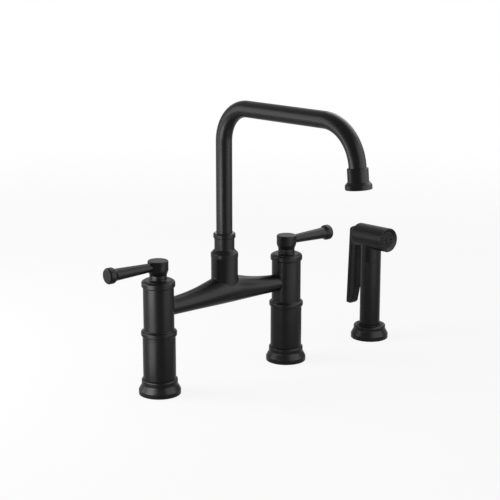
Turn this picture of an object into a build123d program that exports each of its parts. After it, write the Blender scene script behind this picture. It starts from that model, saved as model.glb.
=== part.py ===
from build123d import *

import os
from math import cos, radians, sin, tan

# Deck-mounted bridge kitchen faucet with a side spray, in millimetres.
# +X runs along the bridge to the right, -Y points at the user, +Z is up. The origin lies on the deck,
# midway between the two handle columns. Every piece is modelled at rest, with both valves shut.

# ---- layout on the deck ----
handle_spacing = 203.2  # between the axes of the two handle columns
spray_spacing = 151.7  # from the right column's axis to the spray's axis
deck_thickness = 32.0

# ---- fits between pieces ----
press_fit = 0.02  # radial gap of pieces that are screwed or pushed together
running_fit = 0.05  # radial gap of a shaft that turns or slides in its bore
free_gap = 0.3  # gap between pieces that move past each other
seam_edge = 0.35  # rounding of the edges on both sides of a visible seam

# ---- handle columns, from the deck up ----
foot_width = 3.65  # foot's edge beyond the band above it
foot_height = 5.6
foot_edge = 1.0
cove_height = 6.8
cove_radius = 3.0
band_ledge = 2.05  # band's edge beyond the sleeve above it
band_height = 7.1
band_shoulder = 2.0
gasket_thickness = 1.6
gasket_inner_radius = 13.0
gasket_outer_radius = 22.5
sleeve_radius = 20.05
sleeve_wall = 2.0
sleeve_length = 50.9
spigot_height = 5.0  # length of the turned spigots that centre the sleeve
bead_lip = 3.0
bead_swell = 1.8  # bead beyond the sleeve
bead_height = 6.8
bead_lower_rounding = 1.7
bead_upper_rounding = 2.1
bead_cove_width = 0.9
bead_cove_height = 1.4
barrel_step = 1.35  # barrel's radius below the sleeve's
barrel_length = 52.6
stub_radius = 15.0  # lower end of the valve body, inside the sleeve
stub_length = 23.6
cap_thread_step = 2.2  # cap's thread inside the barrel's radius
cap_thread_length = 5.4
rim_swell = 1.75  # rim beyond the barrel
rim_height = 8.0
rim_lower_rounding = 1.7
rim_upper_rounding = 2.6
rim_step_inset = 3.05
rim_step_height = 0.8
neck_radius = 10.55
neck_height = 6.6
neck_root_rounding = 1.3

# ---- inlet shanks and what clamps them to the deck ----
shank_radius = 10.3  # smooth stretch that centres the column in the deck
shank_smooth_length = 12.0
shank_thread_radius = 10.1
supply_thread_radius = 9.8
supply_thread_length = 12.0
waterway_radius = 6.5
shank_socket_depth = 13.0
shank_below_deck = 60.0
washer_radius = 23.0
washer_thickness = 2.5
nut_across_flats = 36.0
nut_height = 10.0
nut_corner_cut = 1.5

# ---- ceramic cartridges ----
pocket_radius = 11.5
pocket_floor_rise = 12.4  # pocket floor above the top of the bead ring
seal_inner_radius = 7.4
seal_lap = 1.0  # seal beyond the disc's edge
seal_thickness = 1.6
disc_radius = 9.0
fixed_disc_thickness = 3.0
moving_disc_thickness = 2.8
disc_port_radius = 2.5
disc_port_offset = 5.0
driver_inset = 0.4  # driver plate inside the disc's edge
driver_thickness = 2.4
cartridge_side_gap = 0.1
cartridge_window_width = 9.0
stem_radius = 4.0
stem_clearance = 2.0  # open space round the stem inside the neck

# ---- handles ----
hub_radius = 12.57
hub_height = 17.0
hub_foot_radius = 10.6
hub_taper_height = 5.2
hub_taper_rounding = 4.0
hub_edge = 1.3
hub_top_wall = 4.4  # metal left above the stem
lever_height_in_hub = 9.8
lever_length = 73.7  # from the column's axis to the lever's end face
lever_root_radius = 5.4  # where the lever leaves the hub
lever_tip_radius = 7.3  # just before the end flange
lever_flange_radius = 9.75
lever_flange_length = 7.2
lever_flare_length = 4.6
lever_flare_rounding = 5.0
lever_flange_rounding = 1.0
lever_end_rounding = 2.2
lever_spigot_radius = 4.0
lever_spigot_gap = 1.0  # hub metal between the stem and the lever's spigot
set_screw_radius = 2.0
set_screw_socket = 1.8  # across flats
set_screw_socket_depth = 2.5
button_radius = 4.0  # button in the hub's front, over the set screw
button_thickness = 2.0
button_recess = 0.7  # button's rim inside the hub's front
button_rim = 1.0  # raised rim round the dished middle
button_dish = 0.5
button_edge = 0.2

# ---- bridge ----
bridge_rise = 14.0  # bridge underside above the top of the bead ring
arm_radius = 9.0  # that the arms narrow towards, away from the middle
bridge_middle_radius = 17.9
bridge_swell_width = 42.0  # middle to where half of the swelling is gone
bridge_sections = 17
bridge_spigot_radius = 8.0
boss_inset = 1.18  # boss inside the middle's radius
boss_height = 23.6  # above the top of the bridge's middle
boss_root_rounding = 2.5

# ---- spout collar and swivel ----
boss_wall = 2.22  # between the boss's outside and the collar's thread
collar_thread_length = 8.0
collar_lip_overhang = 0.38  # lip beyond the boss
collar_lip_height = 5.0
collar_lip_rounding = 1.6
collar_slope_height = 5.0
collar_wall = 0.88  # round the bush
collar_neck_height = 13.9
collar_neck_rounding = 1.8
collar_bead_swell = 1.3  # bead beyond the neck
collar_bead_height = 6.6
collar_bead_lower_rounding = 1.2
collar_bead_upper_rounding = 2.0
bush_wall = 1.5
bush_length = 11.8
stub_wall = 2.15  # stub round the spout's tube
spout_stub_length = 26.0
thrust_washer_thickness = 0.9
o_ring_thickness = 1.3
o_ring_offset = 6.0  # of each o-ring from its end of the stub

# ---- spout ----
tube_radius = 10.05
tube_wall = 1.4
spout_turn = 1.8  # how far the spout is turned from straight ahead, towards +X, in degrees
riser_height = 342.6  # deck to the corner where the riser and the top run would meet
top_run_length = 222.0  # corner to corner
top_run_rise = 1.3  # degrees
inner_bend_radius = 43.9
outer_bend_radius = 51.8
outlet_tilt = 5.6  # of the outlet from straight down, outwards, in degrees
outlet_lead = 0.4  # straight tube between the bend and the outlet collar

# ---- outlet ----
outlet_wall = 2.0  # collar round the spout's tube
outlet_length = 23.8
outlet_top_rounding = 1.0
outlet_flange_width = 3.25  # flange beyond the collar
outlet_flange_height = 5.2
outlet_flare_height = 3.6
outlet_flare_rounding = 2.5
outlet_flange_rounding = 1.4
outlet_end_rounding = 0.6
tube_in_outlet = 10.0
outlet_gasket_thickness = 1.5
aerator_step = 0.5  # aerator's radius beyond the tube's
aerator_wall = 1.6
aerator_recess = 0.6
screen_thickness = 1.2
screen_depth = 2.0  # screen below the aerator's end face
screen_hole_radius = 0.55
screen_rings = 4
screen_hole_spacing = 2.0

# ---- side spray: holder on the deck ----
holder_foot_width = 3.65  # foot's edge beyond the band above it
holder_foot_height = 6.0
holder_cove_height = 6.7
holder_band_radius = 21.55
holder_band_height = 5.8
holder_shank_radius = 15.9
holder_gasket_inset = 1.5  # gasket's inner edge beyond the shank
holder_shank_wall = 2.7
holder_shank_below_deck = 50.0
holder_thread_depth = 8.0
holder_washer_radius = 26.0
holder_nut_across_flats = 44.0
liner_wall = 3.0
liner_lip = 1.1
liner_floor = 2.0
liner_side_gap = 0.3
hose_passage_gap = 0.6  # round the hose connector

# ---- side spray: grip and head ----
grip_radius = 13.7
grip_wall = 2.3
grip_length = 97.3
grip_floor = 7.0
grip_spigot_length = 8.0
head_neck_length = 33.1  # grip's seam to the head's axis
head_tilt = 2.1  # of the head's axis, front upwards, in degrees
head_radius = 16.05
head_front = 26.2  # grip axis to the seam behind the nozzle ring
head_back = 23.3
head_back_rounding = 1.7
head_wall = 3.05
head_back_wall = 13.5
nozzle_length = 6.8
nozzle_lip = 1.4  # width of the nozzle's front edge
nozzle_slope_width = 3.7  # funnel between the front edge and the spray plate
nozzle_recess = 2.4
nozzle_ledge = 1.6  # behind the plate's edge
nozzle_spigot_length = 6.0
nozzle_edge = 0.6
plate_thickness = 1.8
plate_hole_radius = 0.7
plate_outer_holes = 12
plate_outer_circle = 8.3
plate_inner_holes = 6
plate_inner_circle = 5.1
plate_star_radius = 2.8
plate_star_height = 0.8
inlet_thread_radius = 6.6
inlet_thread_length = 9.0
inlet_collar_radius = 9.0
inlet_collar_length = 9.3
inlet_bore_radius = 3.5

# ---- side spray: thumb lever, its pin and the valve plunger ----
thumb_width = 10.5  # at the top
thumb_foot_width = 13.0
thumb_depth = 8.7  # pin to the lever's back, at the height of the head's axis
thumb_step = 2.0  # lever's front face beside the grip, further back than at the pin
thumb_lean = 1.9  # of the lever's back, lower end outwards, in degrees
thumb_rise = 8.6  # pin to the lever's top
thumb_length = 110.9
thumb_top_rounding = 9.6
thumb_end_flat = 9.5
thumb_end_rise = 26.0
thumb_heel_rounding = 2.5
thumb_toe_rounding = 7.0
thumb_inner_rounding = 30.0
thumb_corner = 4.6  # rounding of the lever's two ends, seen from behind
thumb_edge = 2.0  # rounding of the lever's two long edges at the back
thumb_groove_inset = 6.0  # from the lever's back to the groove's middle
thumb_groove_width = 1.2
thumb_groove_depth = 0.6
thumb_groove_end = 9.0  # lever's lower end to the groove's end
thumb_angle = 5.0  # how far the lever can be squeezed, in degrees
pivot_stand_off = 5.7  # head's back to the pin
pivot_rise = 1.8  # pin above the head's axis
pin_radius = 1.6
pin_end_gap = 0.25
tongue_thickness = 4.0
tongue_radius = 4.5
tongue_side_gap = 0.3
plunger_drop = 8.2  # plunger's axis below the head's axis
plunger_radius = 2.0
plunger_cap_radius = 4.0
plunger_cap_thickness = 3.0
plunger_cap_rounding = 2.2
plunger_length = 17.0
spring_space = 6.4
spring_wire_radius = 0.35
spring_turns = 5

# ---- levels and places that follow from the sizes above ----
band_radius = sleeve_radius + band_ledge
foot_radius = band_radius + foot_width
bead_radius = sleeve_radius + bead_swell
barrel_radius = sleeve_radius - barrel_step
cap_thread_radius = barrel_radius - cap_thread_step
rim_radius = barrel_radius + rim_swell
rim_step_radius = rim_radius - rim_step_inset
seal_outer_radius = disc_radius + seal_lap
driver_radius = disc_radius - driver_inset

left_x = -handle_spacing / 2
right_x = handle_spacing / 2
spray_x = right_x + spray_spacing
foot_top = foot_height + cove_height + band_height
sleeve_top = foot_top + sleeve_length
bead_bottom = sleeve_top + bead_lip
bead_top = bead_bottom + bead_height
ring_top = bead_top + bead_cove_height
barrel_top = ring_top + barrel_length
stub_bottom = ring_top - stub_length
shank_top = stub_bottom + shank_socket_depth
cap_ceiling = barrel_top + cap_thread_length
rim_top = barrel_top + rim_height
cap_top = rim_top + rim_step_height
neck_top = cap_top + neck_height
hub_bottom = neck_top + free_gap
hub_top = hub_bottom + hub_height
stem_top = hub_top - hub_top_wall
lever_axis = hub_bottom + lever_height_in_hub
button_back = hub_radius - button_recess - button_thickness
pocket_floor = ring_top + pocket_floor_rise
seal_top = pocket_floor + seal_thickness
fixed_disc_top = seal_top + fixed_disc_thickness
moving_disc_bottom = fixed_disc_top + running_fit
moving_disc_top = moving_disc_bottom + moving_disc_thickness
driver_top = moving_disc_top + driver_thickness
sleeve_bore = sleeve_radius - sleeve_wall

bridge_reach = handle_spacing / 2 - barrel_radius
boss_radius = bridge_middle_radius - boss_inset
bridge_bottom = ring_top + bridge_rise
arm_swell = (bridge_middle_radius - arm_radius) / (1 + (bridge_reach / bridge_swell_width) ** 2)
arm_axis = bridge_bottom + arm_radius + arm_swell
boss_top = bridge_bottom + 2 * bridge_middle_radius + boss_height
collar_thread_radius = boss_radius - boss_wall
collar_lip_radius = boss_radius + collar_lip_overhang
bush_radius = tube_radius + running_fit + bush_wall
collar_neck_radius = bush_radius + press_fit + collar_wall
collar_bead_radius = collar_neck_radius + collar_bead_swell
collar_bottom = boss_top - collar_thread_length
lip_top = boss_top + collar_lip_height
neck_bottom = lip_top + collar_slope_height
collar_bead_bottom = neck_bottom + collar_neck_height
collar_top = collar_bead_bottom + collar_bead_height
bush_bottom = collar_top - bush_length
spout_stub_radius = tube_radius + stub_wall
stub_top = collar_bottom - running_fit - thrust_washer_thickness
stub_low_end = stub_top - spout_stub_length
tube_bore = tube_radius - tube_wall
outlet_radius = tube_radius + outlet_wall
outlet_flange_radius = outlet_radius + outlet_flange_width
aerator_radius = tube_radius + aerator_step

holder_foot_radius = holder_band_radius + holder_foot_width
holder_top = holder_foot_height + holder_cove_height + holder_band_height
liner_radius = grip_radius + liner_side_gap + liner_wall
liner_top = holder_top + liner_lip
hose_passage_radius = inlet_collar_radius + hose_passage_gap
spray_gasket_inner = holder_shank_radius + holder_gasket_inset
grip_bottom = holder_thread_depth + liner_floor + free_gap
grip_bore = grip_radius - grip_wall
grip_seam_height = grip_bottom + grip_length
head_height = grip_seam_height + head_neck_length
head_bore_radius = head_radius - head_wall
plate_seat_radius = head_radius - nozzle_lip - nozzle_slope_width
pivot_height = head_height + pivot_rise
pivot_back = head_back + pivot_stand_off
thumb_back = pivot_back + thumb_depth
thumb_top = pivot_height + thumb_rise
thumb_bottom = thumb_top - thumb_length


# ---- shaping helpers ----
def turned(*corners):
    """A piece turned about Z, from the closed outline of its section.

    Each corner is (radius, height) or (radius, height, rounding).
    """
    points = [(corner[0], 0, corner[1]) for corner in corners]
    roundings = [corner[2] if len(corner) > 2 else 0 for corner in corners]
    return revolve(make_face(FilletPolyline(*points, radius=roundings, close=True)), Axis.Z)


def ring(inner_radius, outer_radius, bottom, top):
    """A plain turned ring."""
    return turned((inner_radius, bottom), (outer_radius, bottom), (outer_radius, top), (inner_radius, top))


def rod(radius, bottom, top):
    """A plain cylinder on the Z axis."""
    return Pos(0, 0, bottom) * Cylinder(radius, top - bottom, align=(Align.CENTER, Align.CENTER, Align.MIN))


def along(direction, height=0.0):
    """The place that turns a piece made on Z so that it lies along a level direction."""
    return Plane(origin=(0, 0, height), z_dir=direction).location


def hex_nut(across_flats, bore_radius, bottom, top):
    """A hexagon nut with a plain bore, its corners turned down at both ends."""
    blank = Pos(0, 0, bottom) * extrude(RegularPolygon(across_flats / 2, 6, major_radius=False), top - bottom)
    corner = across_flats / 2 / cos(radians(30))
    flat = corner - nut_corner_cut / tan(radians(30))
    envelope = turned(
        (bore_radius, bottom),
        (flat, bottom),
        (corner, bottom + nut_corner_cut),
        (corner, top - nut_corner_cut),
        (flat, top),
        (bore_radius, top),
    )
    return blank & envelope


# ---- fixed pieces of a handle column, made on the Z axis ----
def base_flange():
    """Stepped round foot, with a recess for its gasket and a spigot that centres the sleeve."""
    cove_top = foot_height + cove_height
    return turned(
        (shank_radius + free_gap, 0),
        (gasket_inner_radius - press_fit, 0),
        (gasket_inner_radius - press_fit, gasket_thickness),
        (gasket_outer_radius + press_fit, gasket_thickness),
        (gasket_outer_radius + press_fit, 0),
        (foot_radius, 0, seam_edge),
        (foot_radius, foot_height, foot_edge),
        (band_radius, cove_top, cove_radius),
        (band_radius, foot_top, band_shoulder),
        (sleeve_bore - press_fit, foot_top),
        (sleeve_bore - press_fit, foot_top + spigot_height),
        (shank_radius + free_gap, foot_top + spigot_height),
    )


def base_gasket():
    """Soft ring between the foot and the deck."""
    return ring(gasket_inner_radius, gasket_outer_radius, 0, gasket_thickness)


def lower_sleeve():
    """Plain tube between the foot and the bead ring."""
    return turned(
        (sleeve_bore, foot_top),
        (sleeve_radius, foot_top, seam_edge),
        (sleeve_radius, sleeve_top, seam_edge),
        (sleeve_bore, sleeve_top),
    )


def bead_ring():
    """Beaded ring that centres the valve body in the sleeve."""
    bore = stub_radius + press_fit
    return turned(
        (bore, sleeve_top - spigot_height),
        (sleeve_bore - press_fit, sleeve_top - spigot_height),
        (sleeve_bore - press_fit, sleeve_top),
        (sleeve_radius, sleeve_top, seam_edge),
        (sleeve_radius, bead_bottom),
        (bead_radius, bead_bottom, bead_lower_rounding),
        (bead_radius, bead_top, bead_upper_rounding),
        (barrel_radius + bead_cove_width, bead_top),
        (barrel_radius, ring_top),
        (bore, ring_top),
    )


def valve_body(bridge_side):
    """Upper barrel: cartridge pocket above, inlet socket below, port towards the bridge."""
    socket_radius = shank_thread_radius + press_fit
    barrel = turned(
        (socket_radius, stub_bottom),
        (stub_radius, stub_bottom),
        (stub_radius, ring_top),
        (barrel_radius, ring_top, seam_edge),
        (barrel_radius, barrel_top, seam_edge),
        (cap_thread_radius, barrel_top),
        (cap_thread_radius, cap_ceiling),
        (pocket_radius, cap_ceiling),
        (pocket_radius, pocket_floor),
        (waterway_radius, pocket_floor),
        (waterway_radius, shank_top),
        (socket_radius, shank_top),
    )
    port = along((bridge_side, 0, 0), arm_axis) * rod(bridge_spigot_radius + press_fit, 0, foot_radius)
    return barrel - port


def rim_cap():
    """Beaded cap that screws over the cartridge, with the neck that the stem comes up through."""
    bore = stem_radius + stem_clearance
    return turned(
        (cap_thread_radius + press_fit, barrel_top),
        (rim_radius, barrel_top, rim_lower_rounding),
        (rim_radius, rim_top, rim_upper_rounding),
        (rim_step_radius, rim_top),
        (rim_step_radius, cap_top, seam_edge),
        (neck_radius, cap_top, neck_root_rounding),
        (neck_radius, neck_top, seam_edge),
        (bore, neck_top),
        (bore, cap_ceiling),
        (cap_thread_radius + press_fit, cap_ceiling),
    )


def valve_seal():
    """Rubber seat under the fixed ceramic disc."""
    return ring(seal_inner_radius, seal_outer_radius, pocket_floor, seal_top)


def disc_ports(bottom, top, angle):
    """The two round ports of a ceramic disc."""
    port = Pos(disc_port_offset, 0, 0) * rod(disc_port_radius, bottom, top)
    return Rot(0, 0, angle) * port + Rot(0, 0, angle + 180) * port


def fixed_disc():
    """Ceramic disc that stands still on the seal."""
    return rod(disc_radius, seal_top, fixed_disc_top) - disc_ports(seal_top, fixed_disc_top, 0)


def moving_disc():
    """Ceramic disc that turns with the stem; its ports stand crosswise when the valve is shut."""
    disc = rod(disc_radius, moving_disc_bottom, moving_disc_top)
    return disc - disc_ports(moving_disc_bottom, moving_disc_top, 90)


def cartridge():
    """Brass shell round the discs and the stem, with a window to the bridge on each side."""
    chamber_radius = disc_radius + free_gap
    shell = turned(
        (chamber_radius, seal_top),
        (pocket_radius - cartridge_side_gap, seal_top),
        (pocket_radius - cartridge_side_gap, cap_ceiling),
        (stem_radius + running_fit, cap_ceiling),
        (stem_radius + running_fit, driver_top + free_gap),
        (chamber_radius, driver_top + free_gap),
    )
    window_height = driver_top - fixed_disc_top
    window = Box(2 * foot_radius, cartridge_window_width, window_height)
    return shell - Pos(0, 0, fixed_disc_top + window_height / 2) * window


def inlet_shank():
    """Supply tube through the deck, screwed into the valve body, with the supply's thread at its end."""
    supply_top = supply_thread_length - shank_below_deck
    return turned(
        (waterway_radius, -shank_below_deck),
        (supply_thread_radius, -shank_below_deck),
        (supply_thread_radius, supply_top),
        (shank_thread_radius, supply_top),
        (shank_thread_radius, -shank_smooth_length),
        (shank_radius, -shank_smooth_length),
        (shank_radius, 0),
        (shank_thread_radius, 0),
        (shank_thread_radius, shank_top),
        (waterway_radius, shank_top),
    )


def deck_washer():
    """Steel washer under the deck."""
    return ring(shank_radius + free_gap, washer_radius, -deck_thickness - washer_thickness, -deck_thickness)


def mounting_nut():
    """Brass nut that clamps a column to the deck."""
    top = -deck_thickness - washer_thickness
    return hex_nut(nut_across_flats, shank_thread_radius + press_fit, top - nut_height, top)


# ---- turning pieces of a handle, made on the Z axis ----
def stem():
    """Stem with the driver plate that turns the upper disc."""
    return rod(driver_radius, moving_disc_top, driver_top) + rod(stem_radius, driver_top, stem_top)


def hub_blank():
    """Outer form of a handle's hub."""
    return turned(
        (0, hub_bottom),
        (hub_foot_radius, hub_bottom, seam_edge),
        (hub_radius, hub_bottom + hub_taper_height, hub_taper_rounding),
        (hub_radius, hub_top, hub_edge),
        (0, hub_top),
    )


def hub(side):
    """Hub over the stem, bored for the lever and, in front, for the set screw and its button."""
    spigot_start = stem_radius + lever_spigot_gap
    lever_hole = rod(lever_spigot_radius + press_fit, spigot_start, 2 * hub_radius)
    screw_hole = rod(set_screw_radius + press_fit, 0, 2 * hub_radius)
    button_hole = rod(button_radius + press_fit, button_back, 2 * hub_radius)
    body = hub_blank() - rod(stem_radius + press_fit, hub_bottom, stem_top)
    body -= along((side, 0, 0), lever_axis) * lever_hole
    return body - along((0, -1, 0), lever_axis) * (screw_hole + button_hole)


def lever(side):
    """Tapering lever with a flange at its end, on a spigot in the hub."""
    flange_start = lever_length - lever_flange_length
    flare_start = flange_start - lever_flare_length
    inside_hub = hub_radius / 2
    grip = turned(
        (0, inside_hub),
        (lever_root_radius, inside_hub),
        (lever_root_radius, hub_radius),
        (lever_tip_radius, flare_start, lever_flare_rounding),
        (lever_flange_radius, flange_start, lever_flange_rounding),
        (lever_flange_radius, lever_length, lever_end_rounding),
        (0, lever_length),
    )
    grip = along((side, 0, 0), lever_axis) * grip - hub_blank()
    spigot_end = hub_radius + lever_spigot_gap
    spigot = rod(lever_spigot_radius, stem_radius + lever_spigot_gap, spigot_end)
    return grip + along((side, 0, 0), lever_axis) * spigot


def set_screw():
    """Grub screw that holds the hub to the stem, with a hexagon socket."""
    end = button_back - free_gap
    socket = extrude(RegularPolygon(set_screw_socket / 2, 6, major_radius=False), set_screw_socket_depth)
    screw = rod(set_screw_radius, stem_radius, end) - Pos(0, 0, end - set_screw_socket_depth) * socket
    return along((0, -1, 0), lever_axis) * screw


def index_button():
    """Round dished plug pushed into the hub's front, over the set screw."""
    rim_face = button_back + button_thickness
    dish_radius = button_radius - button_rim
    button = turned(
        (0, button_back),
        (button_radius, button_back),
        (button_radius, rim_face, button_edge),
        (dish_radius, rim_face, button_edge),
        (dish_radius, rim_face - button_dish),
        (0, rim_face - button_dish),
    )
    return along((0, -1, 0), lever_axis) * button


# ---- bridge and spout mounting, on the faucet's middle axis ----
def bridge_section(x):
    """Round section of the bridge at one place along it; the underside stays level."""
    radius = arm_radius + (bridge_middle_radius - arm_radius) / (1 + (x / bridge_swell_width) ** 2)
    return Plane(origin=(x, 0, bridge_bottom + radius), x_dir=(0, 1, 0), z_dir=(1, 0, 0)) * Circle(radius)


def bridge_body():
    """One casting: two arms that swell into the middle, the upright boss, and the waterways."""
    reach = handle_spacing / 2
    stations = [reach * (2 * i / (bridge_sections - 1) - 1) for i in range(bridge_sections)]
    arms = loft([bridge_section(x) for x in stations])
    boss = rod(boss_radius, arm_axis, boss_top)
    body = arms + boss
    root_edges = new_edges(arms, boss, combined=body)
    body = fillet(root_edges.group_by(Axis.Z)[-1], boss_root_rounding)
    stub_bore = spout_stub_radius + running_fit
    body -= rod(collar_thread_radius + press_fit, collar_bottom, boss_top)
    body -= rod(stub_bore, stub_low_end - free_gap, collar_bottom)
    body -= rod(waterway_radius, arm_axis, stub_low_end)
    spigot_start = reach - barrel_radius - bridge_spigot_radius
    spigot_end = reach - pocket_radius - free_gap
    for side in (-1, 1):
        spigot = rod(bridge_spigot_radius, spigot_start, spigot_end)
        body -= Pos(side * reach, 0, 0) * rod(barrel_radius + press_fit, stub_bottom, boss_top)
        body += along((side, 0, 0), arm_axis) * spigot
    waterway = along((1, 0, 0), arm_axis) * rod(waterway_radius, -reach, reach)
    return body - waterway


def spout_collar():
    """Shouldered collar screwed into the boss, with a beaded top that holds the bush."""
    bore = tube_radius + free_gap
    bush_seat = bush_radius + press_fit
    return turned(
        (bore, collar_bottom),
        (collar_thread_radius, collar_bottom),
        (collar_thread_radius, boss_top),
        (collar_lip_radius, boss_top, seam_edge),
        (collar_lip_radius, lip_top, collar_lip_rounding),
        (collar_neck_radius, neck_bottom, collar_neck_rounding),
        (collar_neck_radius, collar_bead_bottom),
        (collar_bead_radius, collar_bead_bottom, collar_bead_lower_rounding),
        (collar_bead_radius, collar_top, collar_bead_upper_rounding),
        (bush_seat, collar_top),
        (bush_seat, bush_bottom),
        (bore, bush_bottom),
    )


def spout_bush():
    """Plastic bush in which the spout turns."""
    return ring(tube_radius + running_fit, bush_radius, bush_bottom, collar_top - seam_edge)


def thrust_washer():
    """Slip washer between the spout's stub and the collar."""
    outer = spout_stub_radius - running_fit
    return ring(tube_radius + press_fit, outer, stub_top, stub_top + thrust_washer_thickness)


def o_ring_levels():
    """Heights of the two o-rings on the stub."""
    return (stub_low_end + o_ring_offset, stub_top - o_ring_offset)


def spout_stub():
    """Brass sleeve brazed to the spout's lower end, grooved for two o-rings."""
    stub = ring(tube_radius + press_fit, spout_stub_radius, stub_low_end, stub_top)
    floor = spout_stub_radius - running_fit - o_ring_thickness - press_fit
    for level in o_ring_levels():
        half_width = o_ring_thickness / 2 + running_fit
        stub -= ring(floor, 2 * spout_stub_radius, level - half_width, level + half_width)
    return stub


def spout_o_rings():
    """The two o-rings that seal the spout in the boss."""
    middle = spout_stub_radius - running_fit - o_ring_thickness / 2
    torus = Torus(middle, o_ring_thickness / 2)
    return [Pos(0, 0, level) * torus for level in o_ring_levels()]


# ---- spout, made in its own plane and turned to its rest position ----
def spout_direction(angle_below_level):
    """Unit vector in the spout's plane, at an angle below level, pointing away from the riser."""
    turn = radians(spout_turn)
    dip = radians(angle_below_level)
    return Vector(sin(turn) * cos(dip), -cos(turn) * cos(dip), -sin(dip))


def outer_bend_setback():
    """Distance from the outer corner to where its bend ends."""
    return outer_bend_radius * tan(radians(90 - outlet_tilt + top_run_rise) / 2)


def outlet_place():
    """The place at the top of the outlet collar, with Z running down and out along the outlet."""
    down = spout_direction(90 - outlet_tilt)
    outer_corner = Vector(0, 0, riser_height) + spout_direction(-top_run_rise) * top_run_length
    top = outer_corner + down * (outer_bend_setback() + outlet_lead)
    return Plane(origin=top, x_dir=spout_direction(0).cross(Vector(0, 0, 1)), z_dir=down).location


def spout_tube():
    """The tall squared tube: riser, inner bend, top run, outer bend and outlet end."""
    start = Vector(0, 0, stub_low_end)
    inner_corner = Vector(0, 0, riser_height)
    outer_corner = inner_corner + spout_direction(-top_run_rise) * top_run_length
    end_length = outer_bend_setback() + outlet_lead + tube_in_outlet
    end = outer_corner + spout_direction(90 - outlet_tilt) * end_length
    bends = [inner_bend_radius, outer_bend_radius]
    path = FilletPolyline(start, inner_corner, outer_corner, end, radius=bends)
    section = Plane(origin=start, z_dir=(0, 0, 1)) * (Circle(tube_radius) - Circle(tube_bore))
    return sweep(section, path=path)


def outlet_collar():
    """Turned collar on the tube's end, with the flange round the aerator."""
    flange_top = outlet_length - outlet_flange_height
    aerator_bore = aerator_radius + press_fit
    collar = turned(
        (tube_radius + press_fit, 0),
        (outlet_radius, 0, outlet_top_rounding),
        (outlet_radius, flange_top - outlet_flare_height, outlet_flare_rounding),
        (outlet_flange_radius, flange_top, outlet_flange_rounding),
        (outlet_flange_radius, outlet_length, outlet_end_rounding),
        (aerator_bore, outlet_length),
        (aerator_bore, tube_in_outlet),
        (tube_radius + press_fit, tube_in_outlet),
    )
    return outlet_place() * collar


def outlet_gasket():
    """Washer between the tube's end and the aerator."""
    bottom = tube_in_outlet + outlet_gasket_thickness
    return outlet_place() * ring(tube_bore, aerator_radius, tube_in_outlet, bottom)


def screen_level():
    """Upper face of the aerator's screen, measured down the outlet."""
    return outlet_length - aerator_recess - screen_depth - screen_thickness


def aerator_housing():
    """Threaded aerator housing, with a ledge on which the screen rests."""
    outer = aerator_radius
    top = tube_in_outlet + outlet_gasket_thickness
    bottom = outlet_length - aerator_recess
    ledge = screen_level()
    housing = turned(
        (tube_bore - press_fit, top),
        (outer, top),
        (outer, bottom, seam_edge),
        (outer - aerator_wall, bottom),
        (outer - aerator_wall, ledge),
        (tube_bore - aerator_wall, ledge),
        (tube_bore - aerator_wall, ledge - aerator_wall),
        (tube_bore - press_fit, ledge - aerator_wall),
    )
    return outlet_place() * housing


def aerator_screen():
    """Perforated disc in the aerator, its holes on rings round one in the middle."""
    top = screen_level()
    disc = rod(aerator_radius - aerator_wall - press_fit, top, top + screen_thickness)
    hole = rod(screen_hole_radius, top, top + screen_thickness)
    holes = [hole]
    for ring_number in range(1, screen_rings):
        for step in range(6 * ring_number):
            turn = Rot(0, 0, 60 * step / ring_number)
            holes.append(turn * Pos(ring_number * screen_hole_spacing, 0, 0) * hole)
    return outlet_place() * (disc - holes)


# ---- side spray: holder on the deck, made on the Z axis ----
def spray_base():
    """Stepped round holder, bored for the liner above and the shank below."""
    cove_top = holder_foot_height + holder_cove_height
    return turned(
        (holder_shank_radius + press_fit, 0),
        (spray_gasket_inner - press_fit, 0),
        (spray_gasket_inner - press_fit, gasket_thickness),
        (gasket_outer_radius + press_fit, gasket_thickness),
        (gasket_outer_radius + press_fit, 0),
        (holder_foot_radius, 0, seam_edge),
        (holder_foot_radius, holder_foot_height, foot_edge),
        (holder_band_radius, cove_top, cove_radius),
        (holder_band_radius, holder_top, band_shoulder),
        (liner_radius + press_fit, holder_top),
        (liner_radius + press_fit, holder_thread_depth),
        (holder_shank_radius + press_fit, holder_thread_depth),
    )


def spray_gasket():
    """Soft ring between the holder and the deck."""
    return ring(spray_gasket_inner, gasket_outer_radius, 0, gasket_thickness)


def spray_liner():
    """Plastic cup in the holder that the grip stands in; the hose runs through its floor."""
    cup_radius = grip_radius + liner_side_gap
    floor_top = holder_thread_depth + liner_floor
    return turned(
        (hose_passage_radius, holder_thread_depth),
        (liner_radius, holder_thread_depth),
        (liner_radius, liner_top, seam_edge),
        (cup_radius, liner_top, seam_edge),
        (cup_radius, floor_top),
        (hose_passage_radius, floor_top),
    )


def spray_shank():
    """Threaded tube that passes the hose through the deck."""
    bore = holder_shank_radius - holder_shank_wall
    return ring(bore, holder_shank_radius, -holder_shank_below_deck, holder_thread_depth)


def spray_washer():
    """Steel washer under the deck, round the holder's shank."""
    bore = holder_shank_radius + free_gap
    return ring(bore, holder_washer_radius, -deck_thickness - washer_thickness, -deck_thickness)


def spray_nut():
    """Nut that clamps the holder to the deck."""
    top = -deck_thickness - washer_thickness
    return hex_nut(holder_nut_across_flats, holder_shank_radius + press_fit, top - nut_height, top)


# ---- side spray: the part that lifts out ----
def head_place():
    """The place on the head's axis over the grip, with Z running forward and Y up."""
    tilt = radians(head_tilt)
    return Plane(origin=(0, 0, head_height), x_dir=(1, 0, 0), z_dir=(0, -cos(tilt), sin(tilt))).location


def head_back_at(height):
    """Distance from the grip's axis to the head's back face at a height."""
    tilt = radians(head_tilt)
    return (head_back + (height - head_height) * sin(tilt)) / cos(tilt)


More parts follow.
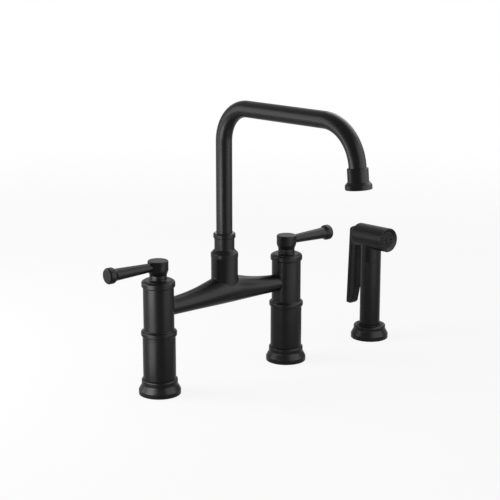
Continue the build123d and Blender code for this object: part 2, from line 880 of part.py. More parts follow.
def plunger_stand_out():
    """How far the plunger stands out of the head at rest, just short of the thumb lever."""
    tilt = radians(head_tilt)
    pivot_rise = (pivot_height - head_height) * cos(tilt) + pivot_back * sin(tilt)
    cap_flat = plunger_cap_radius - plunger_cap_rounding
    return (pivot_rise + plunger_drop - cap_flat) * tan(radians(thumb_angle))


def hose_inlet():
    """Threaded connector at the grip's foot, where the hose screws on."""
    collar_bottom = grip_bottom - inlet_collar_length
    socket = inlet_thread_radius - seam_edge
    return turned(
        (inlet_bore_radius, collar_bottom - inlet_thread_length),
        (inlet_thread_radius, collar_bottom - inlet_thread_length),
        (inlet_thread_radius, collar_bottom),
        (inlet_collar_radius, collar_bottom, seam_edge),
        (inlet_collar_radius, grip_bottom),
        (socket, grip_bottom),
        (socket, grip_bottom + grip_floor),
        (inlet_bore_radius, grip_bottom + grip_floor),
    )


def spray_grip():
    """Straight hollow grip, with a floor for the hose connector."""
    return turned(
        (inlet_thread_radius - seam_edge + press_fit, grip_bottom),
        (grip_radius, grip_bottom, foot_edge),
        (grip_radius, grip_seam_height, seam_edge),
        (grip_bore, grip_seam_height),
        (grip_bore, grip_bottom + grip_floor),
        (inlet_thread_radius - seam_edge + press_fit, grip_bottom + grip_floor),
    )


def spray_head():
    """Neck and level head in one casting, with the tongue that carries the thumb lever."""
    neck = turned(
        (0, grip_seam_height - grip_spigot_length),
        (grip_bore - press_fit, grip_seam_height - grip_spigot_length),
        (grip_bore - press_fit, grip_seam_height),
        (grip_radius, grip_seam_height, seam_edge),
        (grip_radius, head_height),
        (0, head_height),
    )
    barrel = turned(
        (0, -head_back),
        (head_radius, -head_back, head_back_rounding),
        (head_radius, head_front, seam_edge),
        (0, head_front),
    )
    chamber_end = head_back_wall - head_back
    chamber = rod(head_bore_radius, chamber_end, head_front)
    spring_floor = plunger_cap_thickness + spring_space - head_back - plunger_stand_out()
    cap_bore = rod(plunger_cap_radius + free_gap, -2 * head_back, spring_floor)
    stalk_bore = rod(plunger_radius + running_fit, -head_back, chamber_end)
    across = Pos(0, pivot_back, pivot_height) * Rot(0, 90, 0)
    tongue = Pos(0, pivot_back / 2, pivot_height) * Box(tongue_thickness, pivot_back, 2 * tongue_radius)
    tongue += across * Cylinder(tongue_radius, tongue_thickness)
    head = neck + head_place() * barrel + tongue - head_place() * chamber
    head -= head_place() * Pos(0, -plunger_drop, 0) * (cap_bore + stalk_bore)
    neck_bore = rod(grip_bore - grip_wall, grip_seam_height - grip_spigot_length, head_height)
    return head - neck_bore - across * Cylinder(pin_radius + press_fit, thumb_width)


def nozzle_ring():
    """Ring screwed into the head's front, with a funnel down to the spray plate."""
    front = head_front + nozzle_length
    ledge = front - nozzle_recess - plate_thickness
    thread = head_bore_radius - press_fit
    bore = plate_seat_radius - nozzle_ledge
    nozzle = turned(
        (bore, head_front - nozzle_spigot_length),
        (thread, head_front - nozzle_spigot_length),
        (thread, head_front),
        (head_radius, head_front, seam_edge),
        (head_radius, front, nozzle_edge),
        (head_radius - nozzle_lip, front, nozzle_edge),
        (plate_seat_radius, front - nozzle_recess),
        (plate_seat_radius, ledge),
        (bore, ledge),
    )
    return head_place() * nozzle


def spray_plate():
    """Spray face with two rings of holes and a small star-shaped boss."""
    front = head_front + nozzle_length - nozzle_recess
    back = front - plate_thickness
    plate = rod(plate_seat_radius - press_fit, back, front)
    hole = rod(plate_hole_radius, back, front)
    holes = []
    for circle, count in ((plate_outer_circle, plate_outer_holes), (plate_inner_circle, plate_inner_holes)):
        holes += [Rot(0, 0, 360 * i / count) * Pos(circle, 0, 0) * hole for i in range(count)]
    star = RegularPolygon(plate_star_radius, 3) + RegularPolygon(plate_star_radius, 3, rotation=60)
    boss = Pos(0, 0, front) * extrude(star, plate_star_height)
    return head_place() * (plate - holes + boss)


def thumb_back_at(height):
    """Distance from the grip's axis to the lever's back at a height; it leans out downwards."""
    return thumb_back + (head_height - height) * tan(radians(thumb_lean))


def thumb_outline():
    """Side view of the thumb lever; its front face clears the head's back when it is squeezed."""
    face_at_pivot = head_back_at(pivot_height) + free_gap
    thumb_front = face_at_pivot + thumb_step
    knee_height = pivot_height - thumb_step / tan(radians(thumb_angle - head_tilt))
    back_roundings = [seam_edge, thumb_top_rounding, thumb_heel_rounding]
    front_roundings = [thumb_toe_rounding, thumb_inner_rounding, 0, 0]
    return FilletPolyline(
        (0, head_back_at(thumb_top) + free_gap, thumb_top),
        (0, thumb_back_at(thumb_top), thumb_top),
        (0, thumb_back_at(thumb_bottom), thumb_bottom),
        (0, thumb_back_at(thumb_bottom) - thumb_end_flat, thumb_bottom),
        (0, thumb_front, thumb_bottom + thumb_end_rise),
        (0, thumb_front, knee_height),
        (0, face_at_pivot, pivot_height),
        radius=back_roundings + front_roundings,
        close=True,
    )


def thumb_back_view(inset):
    """The lever seen from behind, wider towards its foot, as a solid that reaches front to back."""
    foot = thumb_foot_width / 2 - inset
    head = thumb_width / 2 - inset
    outline = FilletPolyline(
        (-foot, 0, thumb_bottom),
        (foot, 0, thumb_bottom),
        (head, 0, thumb_top),
        (-head, 0, thumb_top),
        radius=thumb_corner,
        close=True,
    )
    return extrude(make_face(outline), 2 * thumb_back, both=True)


def thumb_groove():
    """Pair of shallow straight grooves, one along each side of the thumb lever."""
    low = thumb_bottom + thumb_groove_end
    high = head_height - head_radius
    near = thumb_groove_inset - thumb_groove_width / 2
    far = thumb_groove_inset + thumb_groove_width / 2
    side_view = make_face(Polyline(
        (0, thumb_back_at(low) - near, low),
        (0, thumb_back_at(low) - far, low),
        (0, thumb_back_at(high) - far, high),
        (0, thumb_back_at(high) - near, high),
        close=True,
    ))
    return extrude(side_view, thumb_foot_width, both=True) - thumb_back_view(thumb_groove_depth)


def thumb_section(height, width):
    """Level section of the thumb lever at a height, rounded at its two back edges."""
    section = Pos(0, -thumb_back) * RectangleRounded(width, 2 * thumb_back, thumb_edge)
    return Pos(0, thumb_back_at(height), height) * section


def spray_lever():
    """Thumb lever behind the grip: a deep narrow blade, slotted for the head's tongue."""
    blade = extrude(make_face(thumb_outline()), thumb_foot_width, both=True)
    blade &= thumb_back_view(0)
    blade &= loft([thumb_section(thumb_bottom, thumb_foot_width), thumb_section(thumb_top, thumb_width)])
    slot_width = tongue_thickness + 2 * tongue_side_gap
    slot_end = pivot_back + tongue_radius + tongue_side_gap
    slot_height = 2 * (tongue_radius + pin_radius)
    slot = Pos(0, slot_end / 2, pivot_height) * Box(slot_width, slot_end, slot_height)
    pin_hole = Rot(0, 90, 0) * Cylinder(pin_radius + running_fit, 2 * thumb_width)
    return blade - thumb_groove() - slot - Pos(0, pivot_back, pivot_height) * pin_hole


def thumb_pin():
    """Steel pin on which the thumb lever turns."""
    pin = Rot(0, 90, 0) * Cylinder(pin_radius, thumb_width - 2 * pin_end_gap)
    return Pos(0, pivot_back, pivot_height) * pin


def valve_plunger():
    """Plunger that the lever pushes into the head to open the water."""
    cap_end = -head_back - plunger_stand_out()
    stalk_end = cap_end + plunger_length
    plunger = turned(
        (0, cap_end),
        (plunger_cap_radius, cap_end, plunger_cap_rounding),
        (plunger_cap_radius, cap_end + plunger_cap_thickness),
        (plunger_radius, cap_end + plunger_cap_thickness),
        (plunger_radius, stalk_end),
        (0, stalk_end),
    )
    return head_place() * Pos(0, -plunger_drop, 0) * plunger


def plunger_spring():
    """Coil spring between the plunger's cap and the floor of its bore."""
    start = plunger_cap_thickness + spring_wire_radius - head_back - plunger_stand_out()
    length = spring_space - 2 * spring_wire_radius
    coil_radius = plunger_cap_radius - spring_wire_radius
    helix = Helix(pitch=length / spring_turns, height=length, radius=coil_radius)
    wire_plane = Plane(origin=helix @ 0, z_dir=helix % 0)
    coil = sweep(wire_plane * Circle(spring_wire_radius), path=helix, is_frenet=True)
    return head_place() * Pos(0, -plunger_drop, start) * coil


# ---- every piece in its place, by the name of its node ----
def column_pieces(name, x, bridge_side):
    """The pieces of one handle column; bridge_side is +1 where the bridge lies towards +X."""
    outward = -bridge_side
    pieces = {
        "base_flange": base_flange(),
        "lower_sleeve": lower_sleeve(),
        "bead_ring": bead_ring(),
        "valve_body": valve_body(bridge_side),
        "rim_cap": rim_cap(),
        "cartridge": cartridge(),
        "fixed_disc": fixed_disc(),
        "moving_disc": moving_disc(),
        "stem": stem(),
        "hub": hub(outward),
        "lever": lever(outward),
        "set_screw": set_screw(),
        "index_button": index_button(),
        "inlet_shank": inlet_shank(),
    }
    return {f"{name}_{piece}": Pos(x, 0, 0) * solid for piece, solid in pieces.items()}


def pair(piece):
    """The same piece in both handle columns, as two separate solids."""
    return [Pos(left_x, 0, 0) * piece, Pos(right_x, 0, 0) * piece]


def spray_pieces():
    """The pieces of the side spray and its holder."""
    pieces = {
        "spray_base": spray_base(),
        "spray_gasket": spray_gasket(),
        "spray_liner": spray_liner(),
        "spray_shank": spray_shank(),
        "spray_washer": spray_washer(),
        "spray_nut": spray_nut(),
        "hose_inlet": hose_inlet(),
        "spray_grip": spray_grip(),
        "spray_head": spray_head(),
        "nozzle_ring": nozzle_ring(),
        "spray_plate": spray_plate(),
        "spray_lever": spray_lever(),
        "thumb_pin": thumb_pin(),
        "valve_plunger": valve_plunger(),
        "plunger_spring": plunger_spring(),
    }
    return {name: Pos(spray_x, 0, 0) * solid for name, solid in pieces.items()}


faucet = {
    **column_pieces("left", left_x, 1),
    **column_pieces("right", right_x, -1),
    "base_gaskets": pair(base_gasket()),
    "valve_seals": pair(valve_seal()),
    "deck_washers": pair(deck_washer()),
    "mounting_nuts": pair(mounting_nut()),
    "bridge_body": bridge_body(),
    "spout_collar": spout_collar(),
    "spout_bush": spout_bush(),
    "thrust_washer": thrust_washer(),
    "spout_stub": spout_stub(),
    "spout_o_rings": spout_o_rings(),
    "spout_tube": spout_tube(),
    "outlet_collar": outlet_collar(),
    "outlet_gasket": outlet_gasket(),
    "aerator_housing": aerator_housing(),
    "aerator_screen": aerator_screen(),
    **spray_pieces(),
}

os.makedirs("parts", exist_ok=True)
for node, solid in faucet.items():
    if isinstance(solid, list):
        solid = Compound(children=solid)
    export_step(solid, f"parts/{node}.step")
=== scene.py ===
from math import cos, pi, radians, sin

import bpy
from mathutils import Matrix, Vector


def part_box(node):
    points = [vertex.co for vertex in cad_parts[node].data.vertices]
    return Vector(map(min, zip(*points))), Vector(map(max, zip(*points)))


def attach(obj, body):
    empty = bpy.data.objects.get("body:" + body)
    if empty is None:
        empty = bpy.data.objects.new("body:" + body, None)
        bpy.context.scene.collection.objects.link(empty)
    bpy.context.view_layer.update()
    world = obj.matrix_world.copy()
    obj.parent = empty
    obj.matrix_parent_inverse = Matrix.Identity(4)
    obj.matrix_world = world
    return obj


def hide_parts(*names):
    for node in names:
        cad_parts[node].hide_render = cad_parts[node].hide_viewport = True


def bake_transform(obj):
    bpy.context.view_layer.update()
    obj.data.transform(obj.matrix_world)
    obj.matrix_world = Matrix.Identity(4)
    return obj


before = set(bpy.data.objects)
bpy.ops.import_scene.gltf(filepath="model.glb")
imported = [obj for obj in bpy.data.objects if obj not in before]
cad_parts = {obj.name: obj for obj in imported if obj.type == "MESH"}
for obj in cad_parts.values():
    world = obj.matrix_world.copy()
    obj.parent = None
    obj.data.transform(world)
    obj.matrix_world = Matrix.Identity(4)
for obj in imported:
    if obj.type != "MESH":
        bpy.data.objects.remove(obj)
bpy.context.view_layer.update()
scene = bpy.context.scene
scene.view_settings.view_transform = "Standard"

# ---- camera ----
# The faucet is seen from the left front, a little above its spout, through a long lens.
# The aim lies over the bridge, nearer the spray than the middle, so that both stand in the square frame.
camera_aim = Vector((0.0410, 0.0, 0.1566))
camera_distance = 1.8261
camera_turn = radians(39.634)  # from straight ahead, towards the faucet's left
camera_rise = radians(14.219)  # above level
camera_lens = 104.75
camera_sensor = 36.0

level_share = cos(camera_rise)
towards_camera = Vector((-sin(camera_turn) * level_share, -cos(camera_turn) * level_share, sin(camera_rise)))
camera_data = bpy.data.cameras.new("camera")
camera_data.lens = camera_lens
camera_data.sensor_width = camera_sensor
camera = bpy.data.objects.new("camera", camera_data)
camera.location = camera_aim + towards_camera * camera_distance
camera.rotation_euler = towards_camera.to_track_quat("Z", "Y").to_euler()
scene.collection.objects.link(camera)
scene.camera = camera


# ---- floor and white surroundings ----
# A plain pale worktop stands in for the deck, with an even white room round it.
# It is laid level with the feet, so the shanks, washers and nuts hang below it as they do on a sink.
class Wire:
    """A socket in a node tree; sums written on it add Math nodes to that tree."""

    def __init__(self, tree, socket=None):
        self.tree = tree
        self.socket = socket

    def node(self, kind, settings=None, inputs=None, output=0):
        """Adds a node, makes its settings, then fills its inputs with values or links."""
        made = self.tree.nodes.new(kind)
        for name, value in (settings or {}).items():
            if name == "stops":
                for stop, (place, grey) in zip(made.color_ramp.elements, value):
                    stop.position = place
                    stop.color = (grey, grey, grey, 1)
            else:
                setattr(made, name, value)
        for name, value in (inputs or {}).items():
            if isinstance(value, Wire):
                self.tree.links.new(value.socket, made.inputs[name])
            else:
                made.inputs[name].default_value = value
        return Wire(self.tree, made.outputs[output] if made.outputs else None)

    def other(self, output):
        """Another output of the node that this socket belongs to."""
        return Wire(self.tree, self.socket.node.outputs[output])

    def math(self, operation, first, second=0.0):
        """The result of a Math node on two values or sockets."""
        return self.node("ShaderNodeMath", {"operation": operation}, {0: first, 1: second})

    def blend(self, first, second):
        """A colour between two colours, with this socket as the share of the second."""
        inputs = {0: self, 6: first, 7: second}  # the factor and the two colour sockets of a Mix node
        return self.node("ShaderNodeMix", {"data_type": "RGBA"}, inputs, output=2)

    def __add__(self, value):
        return self.math("ADD", self, value)

    def __sub__(self, value):
        return self.math("SUBTRACT", self, value)

    def __rsub__(self, value):
        return self.math("SUBTRACT", value, self)

    def __mul__(self, value):
        return self.math("MULTIPLY", self, value)

    __radd__ = __add__
    __rmul__ = __mul__


def seen_directly(tree):
    """1 for rays that show the surroundings as such, 0 for rays that only carry their light."""
    path = tree.node("ShaderNodeLightPath")
    seen = path.other("Is Camera Ray") + path.other("Is Glossy Ray") + path.other("Is Transmission Ray")
    return seen.math("MINIMUM", seen, 1.0)


room_light = 0.65  # how brightly the room lights the object, where 1 is white
floor_size = 12.0
floor_colour = (0.80, 0.80, 0.79, 1)
speckle_colour = (0.70, 0.70, 0.70, 1)
speckle_share = 0.06
near_white = 0.86  # share of plain white in the floor that the camera sees round the faucet
near_radius = 0.7
far_radius = 1.8  # from here on the floor that the camera sees is white all through

world = bpy.data.worlds.new("white_room")
world.use_nodes = True
world.node_tree.nodes.clear()
room = Wire(world.node_tree)
room_strength = seen_directly(room) * (1 - room_light) + room_light
room_shader = room.node("ShaderNodeBackground", {}, {"Color": (1, 1, 1, 1), "Strength": room_strength})
room.node("ShaderNodeOutputWorld", {}, {"Surface": room_shader})
scene.world = world

floor_material = bpy.data.materials.new("pale_worktop")
floor_material.use_nodes = True
floor_material.node_tree.nodes.clear()
worktop = Wire(floor_material.node_tree)
speckle = worktop.node("ShaderNodeTexNoise", {}, {"Scale": 60.0, "Detail": 6.0})
worktop_colour = (speckle * speckle_share).blend(floor_colour, speckle_colour)
worktop_shader = worktop.node("ShaderNodeBsdfDiffuse", {}, {"Color": worktop_colour})
worktop_place = worktop.node("ShaderNodeTexCoord", {}, {}, "Object")
reach = worktop.node("ShaderNodeVectorMath", {"operation": "LENGTH"}, {0: worktop_place}, "Value")
fade_inputs = {"Value": reach, "From Min": near_radius, "From Max": far_radius, "To Min": near_white}
fade = worktop.node("ShaderNodeMapRange", {"interpolation_type": "SMOOTHSTEP"}, fade_inputs)
white = worktop.node("ShaderNodeEmission", {}, {"Color": (1, 1, 1, 1), "Strength": 1.0})
shown_white = seen_directly(worktop) * fade
worktop_mix = worktop.node("ShaderNodeMixShader", {}, {0: shown_white, 1: worktop_shader, 2: white})
worktop.node("ShaderNodeOutputMaterial", {}, {"Surface": worktop_mix})

half_floor = floor_size / 2
floor_mesh = bpy.data.meshes.new("floor")
floor_corners = [(x * half_floor, y * half_floor, 0) for x, y in ((-1, -1), (1, -1), (1, 1), (-1, 1))]
floor_mesh.from_pydata(floor_corners, [], [(0, 1, 2, 3)])
floor_mesh.materials.append(floor_material)
floor = bpy.data.objects.new("floor", floor_mesh)
scene.collection.objects.link(floor)


# ---- studio lamps ----
# Softboxes, as for a small product on a table. The even room and the softbox behind give the plain light.
# The others only draw the long highlights on the black coat, and the two at the left do so on the upright
# pieces alone, because they would glare on what is seen along the bridge.
def softbox(name, place, aim, width, height, brightness, lights_matt=False):
    """A rectangular lamp of a given brightness, where 1 is white, facing a point."""
    lamp = bpy.data.lights.new(name, "AREA")
    lamp.shape = "RECTANGLE"
    lamp.size = width
    lamp.size_y = height
    lamp.energy = brightness * pi * width * height
    holder = bpy.data.objects.new(name, lamp)
    holder.location = place
    holder.rotation_euler = (Vector(place) - Vector(aim)).to_track_quat("Z", "Y").to_euler()
    holder.visible_camera = False
    holder.visible_diffuse = lights_matt
    scene.collection.objects.link(holder)
    return holder


softbox(
    "back_softbox", place=(-0.62, 0.50, 0.36), aim=(0.0, 0.0, 0.30),
    width=0.50, height=0.68, brightness=7.0, lights_matt=True,
)
softbox(
    "right_softbox", place=(0.42, -0.66, 0.42), aim=(0.3, 0.0, 0.42),
    width=1.0, height=0.88, brightness=6.5,
)
softbox(
    "top_softbox", place=(0.72, 0.0, 0.95), aim=(0.0, 0.0, 0.2),
    width=1.3, height=0.9, brightness=4.5,
)
softbox(
    "front_strip", place=(0.10, -0.26, 0.04), aim=(0.1, 0.0, 0.06),
    width=0.40, height=0.08, brightness=3.5,
)
left_softbox = softbox(
    "left_softbox", place=(-0.42, -0.01, 0.125), aim=(-0.1, 0.0, 0.11),
    width=0.27, height=0.23, brightness=24.0,
)
left_strip = softbox(
    "left_strip", place=(-0.20, -0.01, 0.027), aim=(-0.1, 0.0, 0.027),
    width=0.08, height=0.046, brightness=10.0,
)

column_parts = ("base_flange", "lower_sleeve", "bead_ring", "valve_body", "rim_cap")
upright_names = ["spout_tube", "spout_collar", "spray_base", "spray_grip"]
upright_names += [f"{side}_{part}" for side in ("left", "right") for part in column_parts]
upright_pieces = bpy.data.collections.new("upright_pieces")
for name in upright_names:
    upright_pieces.objects.link(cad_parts[name])
left_softbox.light_linking.receiver_collection = upright_pieces
left_strip.light_linking.receiver_collection = upright_pieces


# ---- black-finished pieces ----
# Feet, barrels, beads, caps, handles, bridge, collar, spout and spray are turned, cast or bent brass.
# They all carry the same satin black powder coat, with the faint pebbling that such a coat has.
def finish(name, paint):
    """A new surface; paint gives its inputs, the height of its relief and how deep that is, by place."""
    material = bpy.data.materials.new(name)
    material.use_nodes = True
    material.node_tree.nodes.clear()
    tree = Wire(material.node_tree)
    place = tree.node("ShaderNodeTexCoord", {}, {}, "Object")
    inputs, height, depth = paint(place)
    inputs["Normal"] = tree.node("ShaderNodeBump", {}, {"Strength": 1.0, "Distance": depth, "Height": height})
    shader = tree.node("ShaderNodeBsdfPrincipled", {}, inputs)
    tree.node("ShaderNodeOutputMaterial", {}, {"Surface": shader})
    return material


def noise(place, scale, detail=2.0, roughness=0.5):
    """Soft random relief from 0 to 1, with a number of lumps to the metre."""
    inputs = {"Vector": place, "Scale": scale, "Detail": detail, "Roughness": roughness}
    return place.node("ShaderNodeTexNoise", {}, inputs)


def dress(material, *names):
    """Gives CAD pieces their finish."""
    for name in names:
        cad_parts[name].material_slots[0].material = material


def powder_coat(place):
    """Satin black: pebbled, finely grained, and slightly uneven in tone and gloss."""
    drift = noise(place, 28.0)
    pebbles = noise(place, 900.0)
    grain = noise(place, 5200.0, 1.0)
    inputs = {
        "Base Color": drift.blend((0.0045, 0.0045, 0.0046, 1), (0.0060, 0.0060, 0.0061, 1)),
        "Roughness": 0.29 + drift * 0.05 + grain * 0.04,
        "Specular IOR Level": 0.08,
    }
    depth = 0.000035
    return inputs, pebbles * 0.75 + grain * 0.25, depth


coat = finish("powder_coat", powder_coat)
handle_parts = ("hub", "index_button", "lever")
for side in ("left", "right"):
    dress(coat, *(f"{side}_{part}" for part in column_parts + handle_parts))
dress(coat, "bridge_body", "spout_collar", "spout_tube", "outlet_collar")
dress(coat, "spray_base", "spray_grip", "spray_head", "nozzle_ring", "spray_lever")


# ---- black plastic pieces ----
# The holder's liner and the spray face are injection moulded, in a nylon as dark as the coat beside it.
# Their surface is the fine spark-eroded texture of the mould.
def moulded_black(place):
    """Dark nylon with a fine even mould texture."""
    texture = noise(place, 3200.0, 3.0, 0.6)
    drift = noise(place, 60.0)
    inputs = {
        "Base Color": drift.blend((0.0042, 0.0042, 0.0043, 1), (0.0064, 0.0064, 0.0066, 1)),
        "Roughness": 0.44 + texture * 0.12,
        "Specular IOR Level": 0.08,
    }
    depth = 0.00004
    return inputs, texture, depth


nylon = finish("moulded_black", moulded_black)
dress(nylon, "spray_plate", "spray_liner")


# ---- white plastic pieces ----
# The swivel bush, its thrust washer and the aerator's housing are moulded in acetal.
# It is milky and faintly waxy, a little yellower where the part is thick.
def acetal(place):
    """Milky acetal with faint flow marks."""
    flow = noise(place, 140.0, 4.0, 0.55)
    inputs = {
        "Base Color": flow.blend((0.66, 0.65, 0.60, 1), (0.76, 0.75, 0.72, 1)),
        "Roughness": 0.33 + flow * 0.14,
        "Subsurface Weight": 0.05,
        "Subsurface Scale": 0.002,
    }
    depth = 0.00003
    return inputs, flow, depth


dress(finish("acetal", acetal), "spout_bush", "thrust_washer", "aerator_housing")


# ---- ceramic discs ----
# Two lapped alumina discs shut off the water in each cartridge; one stands still, one turns with the stem.
# They are fired white and polished nearly to a mirror, with tiny pores left in the body.
def alumina(place):
    """Polished white ceramic, with pores and a faint cloudiness."""
    cloud = noise(place, 260.0, 3.0)
    pores = noise(place, 7000.0, 2.0, 0.7)
    pits = pores.node("ShaderNodeValToRGB", {"stops": ((0.30, 0.0), (0.36, 1.0))}, {"Fac": pores})
    inputs = {
        "Base Color": cloud.blend((0.74, 0.73, 0.69, 1), (0.84, 0.83, 0.81, 1)),
        "Roughness": 0.20 - pits * 0.08,
    }
    depth = 0.00002
    return inputs, pits, depth


alumina_discs = finish("alumina", alumina)
for side in ("left", "right"):
    dress(alumina_discs, f"{side}_fixed_disc", f"{side}_moving_disc")


# ---- rubber seals ----
# Gaskets, seats and o-rings are pressed from black nitrile rubber.
# It is dull, a little grey with bloom, and grained like the mould.
def nitrile(place):
    """Dull black rubber with grey bloom."""
    bloom = noise(place, 190.0, 5.0, 0.6)
    grain = noise(place, 4200.0)
    inputs = {
        "Base Color": bloom.blend((0.017, 0.017, 0.018, 1), (0.044, 0.044, 0.046, 1)),
        "Roughness": 0.72 + grain * 0.2,
    }
    depth = 0.00005
    return inputs, grain, depth


rubber = finish("nitrile", nitrile)
dress(rubber, "base_gaskets", "valve_seals", "spout_o_rings", "outlet_gasket", "spray_gasket")


# ---- steel pieces ----
# Washers, set screws, the thumb lever's pin, the plunger's spring and the aerator's screen are stainless
# steel. They are stamped, turned or drawn, and brushed in fine short scratches.
def brushed_steel(place):
    """Stainless steel with fine scratches drawn out along X."""
    stretched = place.node("ShaderNodeMapping", {}, {"Vector": place, "Scale": (0.06, 1.0, 1.0)})
    scratches = noise(stretched, 9000.0, 3.0, 0.65)
    patches = noise(place, 120.0, 3.0)
    inputs = {
        "Base Color": patches.blend((0.50, 0.50, 0.49, 1), (0.62, 0.61, 0.60, 1)),
        "Metallic": 1.0,
        "Roughness": 0.24 + scratches * 0.16,
    }
    depth = 0.00002
    return inputs, scratches, depth


steel = finish("brushed_steel", brushed_steel)
dress(steel, "deck_washers", "spray_washer", "aerator_screen", "thumb_pin")
dress(steel, "left_set_screw", "right_set_screw")


# ---- bare brass pieces ----
# What lies inside or under the deck is left as it comes off the lathe: shanks, nuts, stems, cartridges,
# the spout's stub, the hose connector and the plunger. Fine tool lines ring it, and it tarnishes in patches.
def turned_brass(place):
    """Brass with lathe lines every fifth of a millimetre, and brown tarnish in patches."""
    line_turn = 31400.0  # radians of the tool's wave to the metre
    height = place.node("ShaderNodeSeparateXYZ", {}, {"Vector": place}, "Z")
    wander = noise(place, 300.0)
    lines = height.math("SINE", height * line_turn + wander * 5.0)
    tarnish = noise(place, 85.0, 5.0, 0.62)
    inputs = {
        "Base Color": tarnish.blend((0.70, 0.50, 0.21, 1), (0.42, 0.29, 0.12, 1)),
        "Metallic": 1.0,
        "Roughness": 0.22 + tarnish * 0.22,
    }
    depth = 0.00003
    return inputs, lines * 0.3 + wander * 0.7, depth


brass = finish("turned_brass", turned_brass)
for side in ("left", "right"):
    dress(brass, f"{side}_cartridge", f"{side}_stem", f"{side}_inlet_shank")
dress(brass, "mounting_nuts", "spout_stub", "spray_shank", "spray_nut", "hose_inlet", "valve_plunger")


# ---- threads ----
# The shanks, their supply ends and the hose connector carry cut brass threads.
# Each is one V-shaped ridge wound round the plain cylinder of its piece, with its root inside the metal.
def new_form(name, floats, counts):
    """A new node group with named inputs, and one of those as a socket, from which the others are reached."""
    form = bpy.data.node_groups.new(name, "GeometryNodeTree")
    form.interface.new_socket("Geometry", in_out="OUTPUT", socket_type="NodeSocketGeometry")
    kinds = (
        ("NodeSocketFloat", floats), ("NodeSocketInt", counts),
        ("NodeSocketVector", ("Tilt", "Place")), ("NodeSocketMaterial", ("Material",)),
    )
    for kind, names in kinds:
        for socket_name in names:
            form.interface.new_socket(socket_name, in_out="INPUT", socket_type=kind)
    return form, Wire(form).node("NodeGroupInput", {}, {}, floats[0])


def set_down(given, geometry):
    """Ends a node group: what it made is turned, moved to its place, made real and given its material."""
    inputs = {"Geometry": geometry, "Translation": given.other("Place"), "Rotation": given.other("Tilt")}
    placed = given.node("GeometryNodeTransform", {}, inputs)
    real = given.node("GeometryNodeRealizeInstances", {}, {"Geometry": placed})
    inputs = {"Geometry": real, "Material": given.other("Material")}
    given.node("NodeGroupOutput", {}, {"Geometry": given.node("GeometryNodeSetMaterial", {}, inputs)})


def winding_form():
    """A node group that winds a bar, with some number of sides, round an axis at some radius."""
    form, given = new_form("winding", ("Radius", "Bar radius", "Turns", "Length"), ("Steps", "Sides"))
    radius = given.other("Radius")
    spiral = given.node("GeometryNodeCurveSpiral", {}, {
        "Resolution": given.other("Steps"), "Rotations": given.other("Turns"),
        "Start Radius": radius, "End Radius": radius, "Height": given.other("Length"),
    })
    upright = given.node("GeometryNodeSetCurveNormal", {"mode": "Z_UP"}, {"Curve": spiral})
    section = {"Resolution": given.other("Sides"), "Radius": given.other("Bar radius")}
    bar = given.node("GeometryNodeCurvePrimitiveCircle", {}, section)
    sweep = {"Curve": upright, "Profile Curve": bar, "Fill Caps": True}
    set_down(given, given.node("GeometryNodeCurveToMesh", {}, sweep))
    return form


def grown(name, form, values):
    """A piece made by a node group and kept as a plain mesh."""
    piece = bpy.data.objects.new(name, bpy.data.meshes.new(name))
    scene.collection.objects.link(piece)
    modifier = piece.modifiers.new("form", "NODES")
    modifier.node_group = form
    for socket in form.interface.items_tree:
        if socket.in_out == "INPUT":
            modifier[socket.identifier] = values[socket.name]
    evaluated = piece.evaluated_get(bpy.context.evaluated_depsgraph_get())
    mesh = bpy.data.meshes.new_from_object(evaluated)
    piece.modifiers.clear()
    piece.data = mesh
    return piece


winding = winding_form()
ridge_share = 0.42  # of the pitch, from a ridge's middle to its edges
sunk_share = 0.45  # of that width, by which the ridge's middle lies inside the thread's radius


def cut_thread(name, node, body, radius, bottom, top, pitch):
    """A thread on the round piece of a node, from one level to another."""
    low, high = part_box(node)
    middle = (low + high) / 2
    ridge = ridge_share * pitch
    length = top - bottom
    piece = grown(name, winding, {
        "Radius": radius - sunk_share * ridge, "Bar radius": ridge, "Turns": length / pitch, "Length": length,
        "Steps": 40, "Sides": 4, "Tilt": (0.0, 0.0, 0.0), "Place": (middle.x, middle.y, bottom),
        "Material": brass,
    })
    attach(piece, body)


mounting = {"radius": 0.0101, "bottom": -0.0472, "top": -0.0128, "pitch": 0.00181}
supply = {"radius": 0.0098, "bottom": -0.0592, "top": -0.0490, "pitch": 0.00181}
for side in ("left", "right"):
    cut_thread(f"{side}_mounting_thread", f"{side}_inlet_shank", "faucet", **mounting)
    cut_thread(f"{side}_supply_thread", f"{side}_inlet_shank", "faucet", **supply)
holder_shank = {"radius": 0.0159, "bottom": -0.0490, "top": -0.0010, "pitch": 0.0015}
cut_thread("spray_shank_thread", "spray_shank", "faucet", **holder_shank)
connector = {"radius": 0.0066, "bottom": -0.0072, "top": 0.0002, "pitch": 0.0013}
cut_thread("hose_thread", "hose_inlet", "spray", **connector)


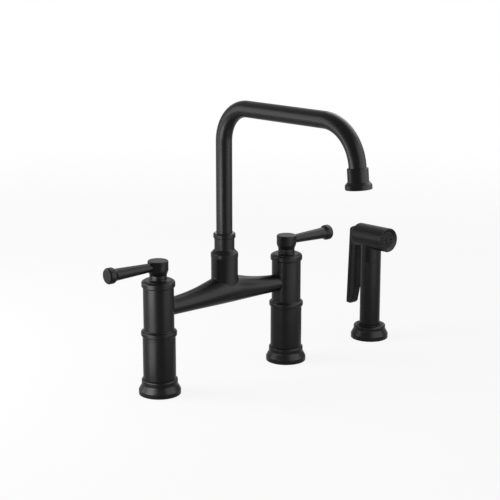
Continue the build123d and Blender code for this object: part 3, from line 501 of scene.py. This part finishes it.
# ---- plunger spring ----
# A coil of drawn stainless wire lies behind the plunger's cap, inside the head, and pushes the thumb lever
# back. Its rear end sits against the cap and its front end rests in the head; it is built once, at its rest
# length.
head_tilt = radians(2.1)
grip_low, grip_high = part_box("spray_grip")
spray_x = (grip_low.x + grip_high.x) / 2
spring_length = 0.0057  # between the middles of its end turns
spring_front = Vector((spray_x, 0.01475, 0.131954))
coil = grown("spray_spring", winding, {
    "Radius": 0.00365, "Bar radius": 0.00035, "Turns": 5.0, "Length": spring_length, "Steps": 32, "Sides": 12,
    "Tilt": (-pi / 2 - head_tilt, 0.0, 0.0), "Place": spring_front, "Material": steel,
})
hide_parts("plunger_spring")
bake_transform(coil)


# ---- spray nubs ----
# Each hole of the spray face ends in a small raised lip, so that limescale can be rubbed off.
# They are moulded with the face from the same dark nylon, in two rings round its middle.
def nub_form():
    """A node group that sets a small lip round every hole of two rings."""
    sizes = ("Lip radius", "Lip thickness", "Outer circle", "Inner circle")
    form, given = new_form("nubs", sizes, ("Outer count", "Inner count"))
    edge = {"Resolution": 16, "Radius": given.other("Lip radius")}
    rim = given.node("GeometryNodeCurvePrimitiveCircle", {}, edge)
    section = {"Resolution": 8, "Radius": given.other("Lip thickness")}
    bead = given.node("GeometryNodeCurvePrimitiveCircle", {}, section)
    lip = given.node("GeometryNodeCurveToMesh", {}, {"Curve": rim, "Profile Curve": bead})
    rings = given.node("GeometryNodeJoinGeometry")
    for ring in ("Outer", "Inner"):
        inputs = {"Vertices": given.other(f"{ring} count"), "Radius": given.other(f"{ring} circle")}
        circle = given.node("GeometryNodeMeshCircle", {}, inputs)
        lips = given.node("GeometryNodeInstanceOnPoints", {}, {"Points": circle, "Instance": lip})
        form.links.new(lips.socket, rings.socket.node.inputs[0])
    set_down(given, rings)
    return form


head_height = 0.1407  # of the head's axis above the deck, over the grip
face_forward = 0.0306  # from the grip's axis to the lips, along the head
face_place = (spray_x, -face_forward * cos(head_tilt), head_height + face_forward * sin(head_tilt))
nubs = grown("spray_nubs", nub_form(), {
    "Lip radius": 0.00095, "Lip thickness": 0.00034, "Outer circle": 0.0083, "Inner circle": 0.0051,
    "Outer count": 12, "Inner count": 6, "Tilt": (pi / 2 - head_tilt, 0.0, 0.0), "Place": face_place,
    "Material": nylon,
})
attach(nubs, "spray")
